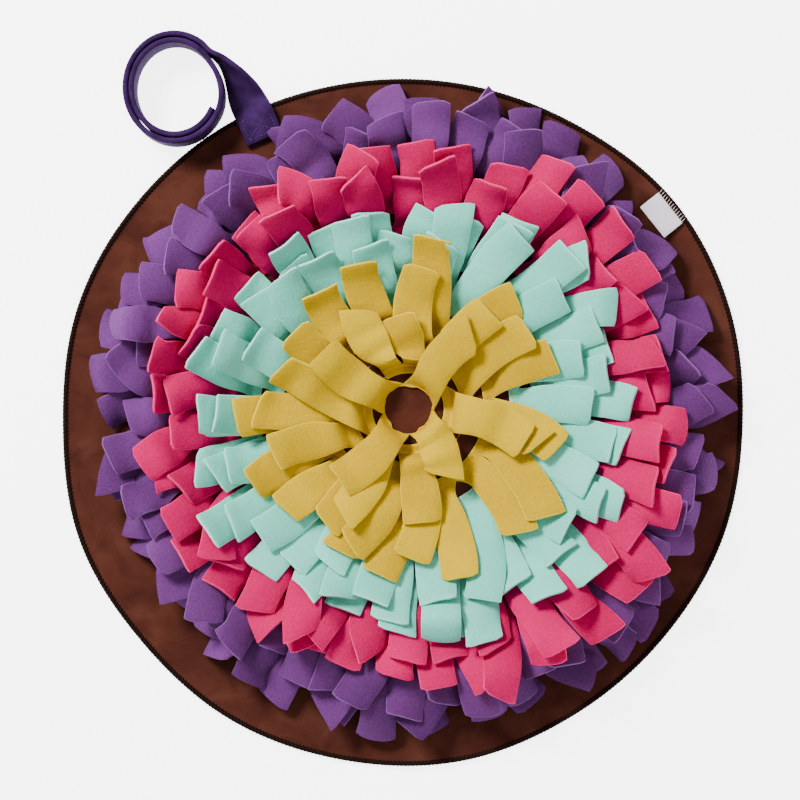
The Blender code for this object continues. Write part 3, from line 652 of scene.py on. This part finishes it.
def velour():
    """Brown polyester velour: short dense nap, dull, with lighter and darker brushed patches."""
    material, tree, shader, place = new_material("velour_brown", {
        "Roughness": 0.9, "Specular IOR Level": 0.12,
        "Sheen Weight": 0.3, "Sheen Roughness": 0.4, "Sheen Tint": linear("a8674c"),
    })
    bend = add(tree, "ShaderNodeTexNoise", {"Scale": 1 / DRIFT}, {"Vector": place.outputs["Object"]})
    bent = add(tree, "ShaderNodeVectorMath", {"operation": "MULTIPLY_ADD", 1: DRIFT_BY},
               {0: bend.outputs["Color"], 2: place.outputs["Object"]})
    patches = add(tree, "ShaderNodeTexNoise",
                  {"Scale": 1 / BRUSHED, "Detail": 4.0, "Roughness": 0.55, "Distortion": 0.6},
                  {"Vector": bent.outputs[0]})
    nap = add(tree, "ShaderNodeTexNoise", {"Scale": 1 / NAP, "Detail": 3.0},
              {"Vector": place.outputs["Object"]})
    worn = add(tree, "ShaderNodeMath", {"operation": "MULTIPLY_ADD", 1: NAP_SHARE},
               {0: nap.outputs["Fac"], 2: patches.outputs["Fac"]})
    ramp = add(tree, "ShaderNodeValToRGB", {}, {"Fac": worn.outputs[0]})
    ramp.color_ramp.elements[0].position = 0.42
    ramp.color_ramp.elements[0].color = linear("3c1a12")
    ramp.color_ramp.elements[1].position = 0.80
    ramp.color_ramp.elements[1].color = linear("532c20")
    middle = ramp.color_ramp.elements.new(0.60)
    middle.color = linear("482218")
    bump = add(tree, "ShaderNodeBump", {"Strength": 0.4, "Distance": 0.4 * MM},
               {"Height": worn.outputs[0]})
    tree.links.new(ramp.outputs["Color"], shader.inputs["Base Color"])
    tree.links.new(bump.outputs["Normal"], shader.inputs["Normal"])
    return material


def thread(name, colour, glint, gloss=0.3):
    """Spun polyester thread: a soft twist with a painted glint, a little lighter on its ridges."""
    material, tree, shader, place = new_material(
        "thread_" + name, {"Roughness": 0.6, "Specular IOR Level": gloss})
    twist = add(tree, "ShaderNodeTexNoise", {"Scale": 1 / TWIST, "Detail": 2.0},
                {"Vector": place.outputs["Object"]})
    tone = add(tree, "ShaderNodeMix", {"data_type": "RGBA", 6: linear(colour), 7: linear(glint)},
               {0: twist.outputs["Fac"]})
    bump = add(tree, "ShaderNodeBump", {"Strength": 0.4, "Distance": 0.15 * MM},
               {"Height": twist.outputs["Fac"]})
    tree.links.new(tone.outputs[2], shader.inputs["Base Color"])
    tree.links.new(bump.outputs["Normal"], shader.inputs["Normal"])
    return material


VELOUR = velour()
DARK_THREAD = thread("dark_brown", "140805", "24120c", gloss=0.06)
YELLOW_THREAD = thread("yellow", "cf9c0c", "e9bd2c")
PURPLE_THREAD = thread("purple", "3c2252", "5e3c7c")
WHITE_THREAD = thread("white", "cfc7c9", "f4f0f0")


# %% Base
def base_cloth():
    """The base cloth as a closed sheet in place of its solid, its overlocked edge in dark thread."""
    edge, border = RIM_WIDTH / BASE_REACH, FREE_BORDER / BASE_REACH
    top = BASE_THICKNESS
    inner = [(share, top) for share in np.linspace(0.0, 0.72, 8)]
    outer = [(share, top) for share in np.linspace(0.75, 1 - edge - 0.004, 16)]
    section = inner + outer + [
        (1 - edge, top), (1 - 0.8 * edge, top + RIM_RISE), (1 - 0.3 * edge, top + RIM_RISE),
        (1 - 0.08 * edge, top + 0.3 * RIM_RISE), (1.0, 0.55 * top), (1 - 0.1 * edge, 0.2 * top),
        (1 - 0.35 * edge, 0.0), (1 - border / 2, 0.0), (1 - border, 0.0), (0.45, 0.0), (0.0, 0.0),
    ]
    bm = bmesh.new()
    corners = [bm.verts.new((share, 0.0, height)) for share, height in section]
    edges = [bm.edges.new(pair) for pair in zip(corners, corners[1:])]
    bmesh.ops.spin(bm, geom=corners + edges, cent=(0, 0, 0), axis=(0, 0, 1), angle=math.tau,
                   steps=BASE_STEPS, use_merge=True)
    bmesh.ops.remove_doubles(bm, verts=bm.verts, dist=SAME_PLACE)
    bmesh.ops.recalc_face_normals(bm, faces=bm.faces)
    for face in bm.faces:
        if face.calc_center_median().xy.length > 1 - edge:
            face.material_index = 1
    for vert in bm.verts:
        share, height = vert.co.xy.length, vert.co.z
        bearing = math.degrees(math.atan2(vert.co.y, vert.co.x))
        radius = share * outline(bearing)
        vert.co = polar(radius, bearing, height=height + rim_lift(bearing, radius))
        on_top = height > 0.6 * top
        if on_top and radius > FOLDED_FROM and share < 1 - edge:
            vert.co.z -= trough_depth(vert.co.x, vert.co.y)
    cloth = piece(bm, "base_cloth", (VELOUR, DARK_THREAD))
    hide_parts("base")
    return cloth


base = base_cloth()
print("base cells:", len(base.data.polygons))

# %% [markdown]
# ## Stitches
#
# Every seam is a row of small pieces of thread. One function lays a short tube along any few points,
# and all the stitches of a seam go into one mesh. A real thread is 0.3 to 0.4 mm thick. Most seams here
# are drawn at 0.6 to 0.8 mm, so that they still show from a step away.

# %% Tube along points
THREAD_SIDES = 5


def tube(bm, points, radius):
    """A tube through a few points, narrowed and closed at both ends."""
    points = [Vector(point) for point in points]
    loops = []
    for place, point in enumerate(points):
        ahead = points[min(place + 1, len(points) - 1)] - points[max(place - 1, 0)]
        turned = ahead.to_track_quat("Z", "Y").to_matrix().to_4x4()
        end = place in (0, len(points) - 1)
        made = bmesh.ops.create_circle(bm, segments=THREAD_SIDES, radius=radius * (0.5 if end else 1.0),
                                       matrix=Matrix.Translation(point) @ turned, cap_ends=end)
        loops.append(made["verts"])
    for one, two in zip(loops, loops[1:]):
        edges = list({edge for verts in (one, two) for vert in verts for edge in vert.link_edges
                      if edge.other_vert(vert) in verts})
        bmesh.ops.bridge_loops(bm, edges=edges)


def seam(name, stitches, radius, material):
    """One mesh of stitches, each a short tube along its points."""
    bm = bmesh.new()
    for points in stitches:
        tube(bm, points, radius)
    bmesh.ops.recalc_face_normals(bm, faces=bm.faces)
    piece(bm, name, (material,))
    print(name, "stitches:", len(stitches))


# %% [markdown]
# ### The overlocked edge
#
# An overlock machine trims the edge and wraps it with thread. Seen from above that is a close row of
# short threads across the rim, nearly black here.

# %% Overlocked edge
OVERLOCK_STEP = 2.6 * MM
OVERLOCK_THREAD = 0.42 * MM     # the radius of each thread
OVERLOCK_LEAN = 0.35            # of a step, to either side
OVERLOCKED = 226 * MM           # the mean radius of the edge

OVERLOCK_PATH = (
    # inwards from the edge, height, lean
    (RIM_WIDTH + 0.5 * MM, BASE_THICKNESS + 0.1 * MM, -1.0),
    (0.75 * RIM_WIDTH, BASE_THICKNESS + RIM_RISE + 0.1 * MM, -0.5),
    (0.25 * RIM_WIDTH, BASE_THICKNESS + RIM_RISE, 0.4),
    (0.0, 0.55 * BASE_THICKNESS, 1.0),
    (0.4 * RIM_WIDTH, OVERLOCK_THREAD, 1.0),
)


def overlock_stitches():
    """Threads across the rim, from the cloth over its edge to the underside."""
    count = round(math.tau * OVERLOCKED / OVERLOCK_STEP)
    lean = OVERLOCK_LEAN * 360.0 / count
    stitches = []
    for number in range(count):
        points = []
        for inward, height, share in OVERLOCK_PATH:
            bearing = 360.0 * number / count + lean * share
            radius = outline(bearing) - inward
            points.append(polar(radius, bearing, height=height + rim_lift(bearing, radius)))
        stitches.append(points)
    return stitches


seam("overlocked_edge", overlock_stitches(), OVERLOCK_THREAD, DARK_THREAD)

# %% [markdown]
# ### The seams that hold the rows
#
# Each band is sewn to the base with a line of stitches in its own colour. Only those round the middle
# can be seen between the strips, so only those are made.

# %% Row seams
ROW_STITCH = 3.2 * MM
ROW_THREAD = 0.3 * MM           # the radius of the thread
SEAM_PLACE = 0.35               # where the seam runs, from a band's inner side to its outer one
SEEN_ROWS = ROWS[1:5]

STITCH_ARCH = (
    # how far along its step each point of a stitch lies, and how far above the band
    (0.1, -0.1 * MM), (0.45, 0.25 * MM), (0.8, -0.1 * MM),
)


def row_stitches():
    """A circle of stitches on each band that shows."""
    stitches = []
    for _, _, start, end in SEEN_ROWS:
        radius = start + SEAM_PLACE * (end - start)
        count = round(math.tau * radius / ROW_STITCH)
        for number in range(count):
            stitches.append([polar(radius, 360.0 * (number + share) / count, HEART, BAND_TOP + rise)
                             for share, rise in STITCH_ARCH])
    return stitches


seam("row_seams", row_stitches(), ROW_THREAD, YELLOW_THREAD)

# %% [markdown]
# ## The strap
#
# The strap is woven webbing. Its sewn end lies flat on the mat; then it turns onto its edge and goes
# round a little less than twice. Its sections are read from the solid like a strip's. The finer piece
# is a flat tube with rounded selvedges: a grid whose two long sides are brought together and merged.
# Its weave follows its own UV map, because it has to turn with the strap: ribs of 1.2 mm across and
# floats along, drawn a little coarser than real ones.

# %% Strap material
RIB = 1.2 * MM
FLOAT = 1.2 * RIB
WAVES_A_METRE = 3.14        # about how often a Wave Texture of scale 1 repeats
FLOAT_SHARE = 0.35          # how strongly the floats show beside the ribs
WEAVE_SHARE = 0.18          # how strongly the weave colours the webbing beside its wear
WEAR = 9 * MM


def webbing():
    """Woven polypropylene webbing: dark violet, dull, ribbed, with a slight glint on its floats."""
    material, tree, shader, place = new_material(
        "webbing_violet", {"Roughness": 0.9, "Specular IOR Level": 0.08})
    ribs = add(tree, "ShaderNodeTexWave",
               {"Scale": 1 / (RIB * WAVES_A_METRE), "bands_direction": "X", "Distortion": 0.6, "Detail": 1.0},
               {"Vector": place.outputs["UV"]})
    floats = add(tree, "ShaderNodeTexWave",
                 {"Scale": 1 / (FLOAT * WAVES_A_METRE), "bands_direction": "Y", "Distortion": 0.4},
                 {"Vector": place.outputs["UV"]})
    weave = add(tree, "ShaderNodeMath", {"operation": "MULTIPLY_ADD", 1: FLOAT_SHARE},
                {0: floats.outputs["Fac"], 2: ribs.outputs["Fac"]})
    clouds = add(tree, "ShaderNodeTexNoise", {"Scale": 1 / WEAR, "Detail": 3.0},
                 {"Vector": place.outputs["Object"]})
    worn = add(tree, "ShaderNodeMath", {"operation": "MULTIPLY_ADD", 1: WEAVE_SHARE},
               {0: weave.outputs[0], 2: clouds.outputs["Fac"]})
    ramp = add(tree, "ShaderNodeValToRGB", {}, {"Fac": worn.outputs[0]})
    ramp.color_ramp.elements[0].position = 0.3
    ramp.color_ramp.elements[0].color = linear("220c32")
    ramp.color_ramp.elements[1].position = 0.9
    ramp.color_ramp.elements[1].color = linear("402456")
    bump = add(tree, "ShaderNodeBump", {"Strength": 0.3, "Distance": 0.15 * MM},
               {"Height": weave.outputs[0]})
    tree.links.new(ramp.outputs["Color"], shader.inputs["Base Color"])
    tree.links.new(bump.outputs["Normal"], shader.inputs["Normal"])
    return material


# %% Strap
WEBBING = 2.9 * MM
PLUMP = 0.7 * MM            # how much thicker the webbing's soft face looks than its solid
STRAP_WIDTH = 25.5 * MM
STRAP_END = Vector((-0.0900, 0.1874, 0.0038))
STRAP_STEP = 2.2 * MM
STRAP_SIDES = 24


def read_strap():
    """Left and right lines of the strap, from its sewn end to the end of its coil."""
    bm = merged_copy("strap")
    start = sorted(bm.verts, key=lambda vert: (vert.co - STRAP_END).length)[:4]
    rings = rings_from(start, set(bm.verts))
    corners = [vert.co.copy() for vert in rings[0]]
    ahead = sum((vert.co for vert in rings[1]), Vector()) / 4 - sum(corners, Vector()) / 4
    root = sorted_section(corners, UP.cross(ahead))
    sides = chain_sides(root, rings[1:])
    bm.free()
    return sides


def round_section(turn):
    """Where the strap's outline lies at a share of a turn: across its width, and up or down."""
    wide, thick = math.cos(math.tau * turn), math.sin(math.tau * turn)
    return (math.copysign(abs(wide) ** 0.45, wide),
            math.copysign(min(abs(thick) * 1.7, 1.0) ** 0.8, thick))


def strap(sides):
    """The webbing as a flat tube with rounded selvedges along the solid's own path."""
    length = float(lengths_along(sides)[-1])
    count = round(length / STRAP_STEP)
    middle, half, _, above = fine_surface(sides, count)
    bm = bmesh.new()
    uv = bm.loops.layers.uv.verify()
    bmesh.ops.create_grid(bm, x_segments=count, y_segments=STRAP_SIDES, size=0.5)
    for face in bm.faces:
        for loop in face.loops:
            across, _ = round_section(loop.vert.co.y)
            loop[uv].uv = ((loop.vert.co.x + 0.5) * length, across * STRAP_WIDTH / 2)
    for vert in bm.verts:
        step = round((vert.co.x + 0.5) * count)
        across, level = round_section(vert.co.y)
        vert.co = Vector(middle[step] + half[step] * across + above[step] * level * (WEBBING + PLUMP) / 2)
    bmesh.ops.remove_doubles(bm, verts=bm.verts, dist=SAME_POINT / 2)
    bmesh.ops.holes_fill(bm, edges=[edge for edge in bm.edges if edge.is_boundary])
    bmesh.ops.recalc_face_normals(bm, faces=bm.faces)
    made = piece(bm, "strap_webbing", (webbing(),))
    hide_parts("strap")
    print("strap mm:", round(length / MM), "cells:", len(made.data.polygons))


strap_sides = read_strap()
strap(strap_sides)

# %% [markdown]
# ### The strap's sewn end
#
# A box with a cross, sewn through strap and base, in thread a little paler than the webbing.

# %% Strap stitches
STRAP_STITCH = 2.4 * MM
STRAP_THREAD = 0.28 * MM        # the radius of the thread
BOX_NEAR, BOX_FAR = 3 * MM, 17 * MM     # from the strap's end to the box's two ends
BOX_HALF = 9.5 * MM             # half the box's width
BOX_LINES = ((0, 1), (1, 2), (2, 3), (3, 0), (0, 2), (1, 3))    # its four sides, and its cross

PROUD_ARCH = (
    # how far along its step each point of a stitch lies, and how far above the webbing
    (0.12, 0.05 * MM), (0.5, 0.4 * MM), (0.85, 0.05 * MM),
)


def sewn_line(from_point, to_point, above):
    """Stitches on a straight line between two points, a little proud of the cloth."""
    arm = to_point - from_point
    count = max(round(arm.length / STRAP_STITCH), 1)
    return [[from_point + arm * ((number + share) / count) + above * rise for share, rise in PROUD_ARCH]
            for number in range(count)]


def strap_stitches(sides):
    """The box and cross at the sewn end."""
    left, right = Vector(sides[0, 0]), Vector(sides[0, 1])
    ahead = Vector(sides[1].mean(axis=0) - sides[0].mean(axis=0)).normalized()
    side = (left - right).normalized()
    above = ahead.cross(side).normalized()
    middle = (left + right) / 2 + above * (WEBBING + PLUMP) / 2
    corners = [middle + ahead * along + side * across for along, across in
               ((BOX_NEAR, -BOX_HALF), (BOX_NEAR, BOX_HALF), (BOX_FAR, BOX_HALF), (BOX_FAR, -BOX_HALF))]
    return [stitch for one, two in BOX_LINES for stitch in sewn_line(corners[one], corners[two], above)]


seam("strap_stitches", strap_stitches(strap_sides), STRAP_THREAD, PURPLE_THREAD)

# %% [markdown]
# ## The label
#
# A small folded label of woven satin tape, left blank. Its outer edge is held by short white threads
# that run on into the rim. Its inner side, where it is folded, stands a little off the cloth.

# %% Label sizes
LABEL_THICKNESS = 1 * MM
LABEL_SIZE = (25.6 * MM, 15.7 * MM)      # along the rim, and inwards
LABEL_CENTRE = Vector((0.1705, 0.1374, 0.0))
LABEL_BEARING = 38.5        # the way its short side points
LABEL_LIFT = 1.2 * MM       # how far its inner side stands off the cloth
LABEL_RIPPLE = 0.2 * MM
HEM_FROM = -0.38            # where its fold begins, as a share of its short side from its middle
HEM_RISE = 0.25 * MM
TAPE = 0.7 * LABEL_THICKNESS
TAPE_MIDDLE = 0.45 * LABEL_THICKNESS
TAPE_SOFTNESS = 0.2 * MM
SATIN_RIB = 1.0 * MM        # a real one is about 0.3 mm, too fine to show
LABEL_THREADS = 13
LABEL_THREAD = 0.15 * MM    # the radius of each thread

LABEL_STITCH = (
    # outwards and sideways in shares of the label's sides, and how far below its face
    (0.46, 0.0, 0.0), (0.54, 0.01, 0.0), (0.64, 0.02, 0.5 * MM), (0.72, 0.03, 1.4 * MM),
)


def label_point(outward, sideways, height):
    """A point on the label: shares of its short and long side from its middle, and a height."""
    arm = Vector((outward * LABEL_SIZE[1], sideways * LABEL_SIZE[0], 0.0))
    arm.rotate(Matrix.Rotation(math.radians(LABEL_BEARING), 3, "Z"))
    return LABEL_CENTRE + arm + UP * height


def satin_tape():
    """Woven satin tape: smooth pale floats with a faint rib and a soft gloss."""
    material, tree, shader, place = new_material(
        "satin_tape_white", {"Roughness": 0.45, "Specular IOR Level": 0.4})
    turned = add(tree, "ShaderNodeMapping", {"Rotation": (0.0, 0.0, math.radians(-LABEL_BEARING))},
                 {"Vector": place.outputs["Object"]})
    ribs = add(tree, "ShaderNodeTexWave",
               {"Scale": 1 / (SATIN_RIB * WAVES_A_METRE), "bands_direction": "Y"},
               {"Vector": turned.outputs["Vector"]})
    tone = add(tree, "ShaderNodeMix", {"data_type": "RGBA", 6: linear("e4dde6"), 7: linear("f4eff5")},
               {0: ribs.outputs["Fac"]})
    bump = add(tree, "ShaderNodeBump", {"Strength": 0.3, "Distance": 0.15 * MM},
               {"Height": ribs.outputs["Fac"]})
    tree.links.new(tone.outputs[2], shader.inputs["Base Color"])
    tree.links.new(bump.outputs["Normal"], shader.inputs["Normal"])
    return material


# %% Label
def label():
    """The label as a thin folded tape in place of its solid."""
    low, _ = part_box("label")
    bm = bmesh.new()
    bmesh.ops.create_grid(bm, x_segments=10, y_segments=14, size=0.5)
    for vert in bm.verts:
        outward, sideways = vert.co.xy
        inward = 0.5 - outward
        lift = LABEL_LIFT * inward * inward + LABEL_RIPPLE * math.sin(5 * sideways + 3 * inward)
        lift += HEM_RISE if outward < HEM_FROM else 0.0
        vert.co = label_point(outward, sideways, low.z + TAPE_MIDDLE + lift)
    tape = piece(bm, "label_tape", (satin_tape(),))
    thicken(tape, TAPE, TAPE_SOFTNESS)
    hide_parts("label")
    print("label mm:", [round(side / MM, 1) for side in LABEL_SIZE])


def label_stitches():
    """Threads from the label's outer edge over the dark rim."""
    low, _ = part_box("label")
    height = low.z + LABEL_THICKNESS
    stitches = []
    for number in range(LABEL_THREADS):
        sideways = -0.47 + 0.94 * number / (LABEL_THREADS - 1)
        stitches.append([label_point(outward, sideways + lean, height - drop)
                         for outward, lean, drop in LABEL_STITCH])
    return stitches


label()
seam("label_threads", label_stitches(), LABEL_THREAD, WHITE_THREAD)
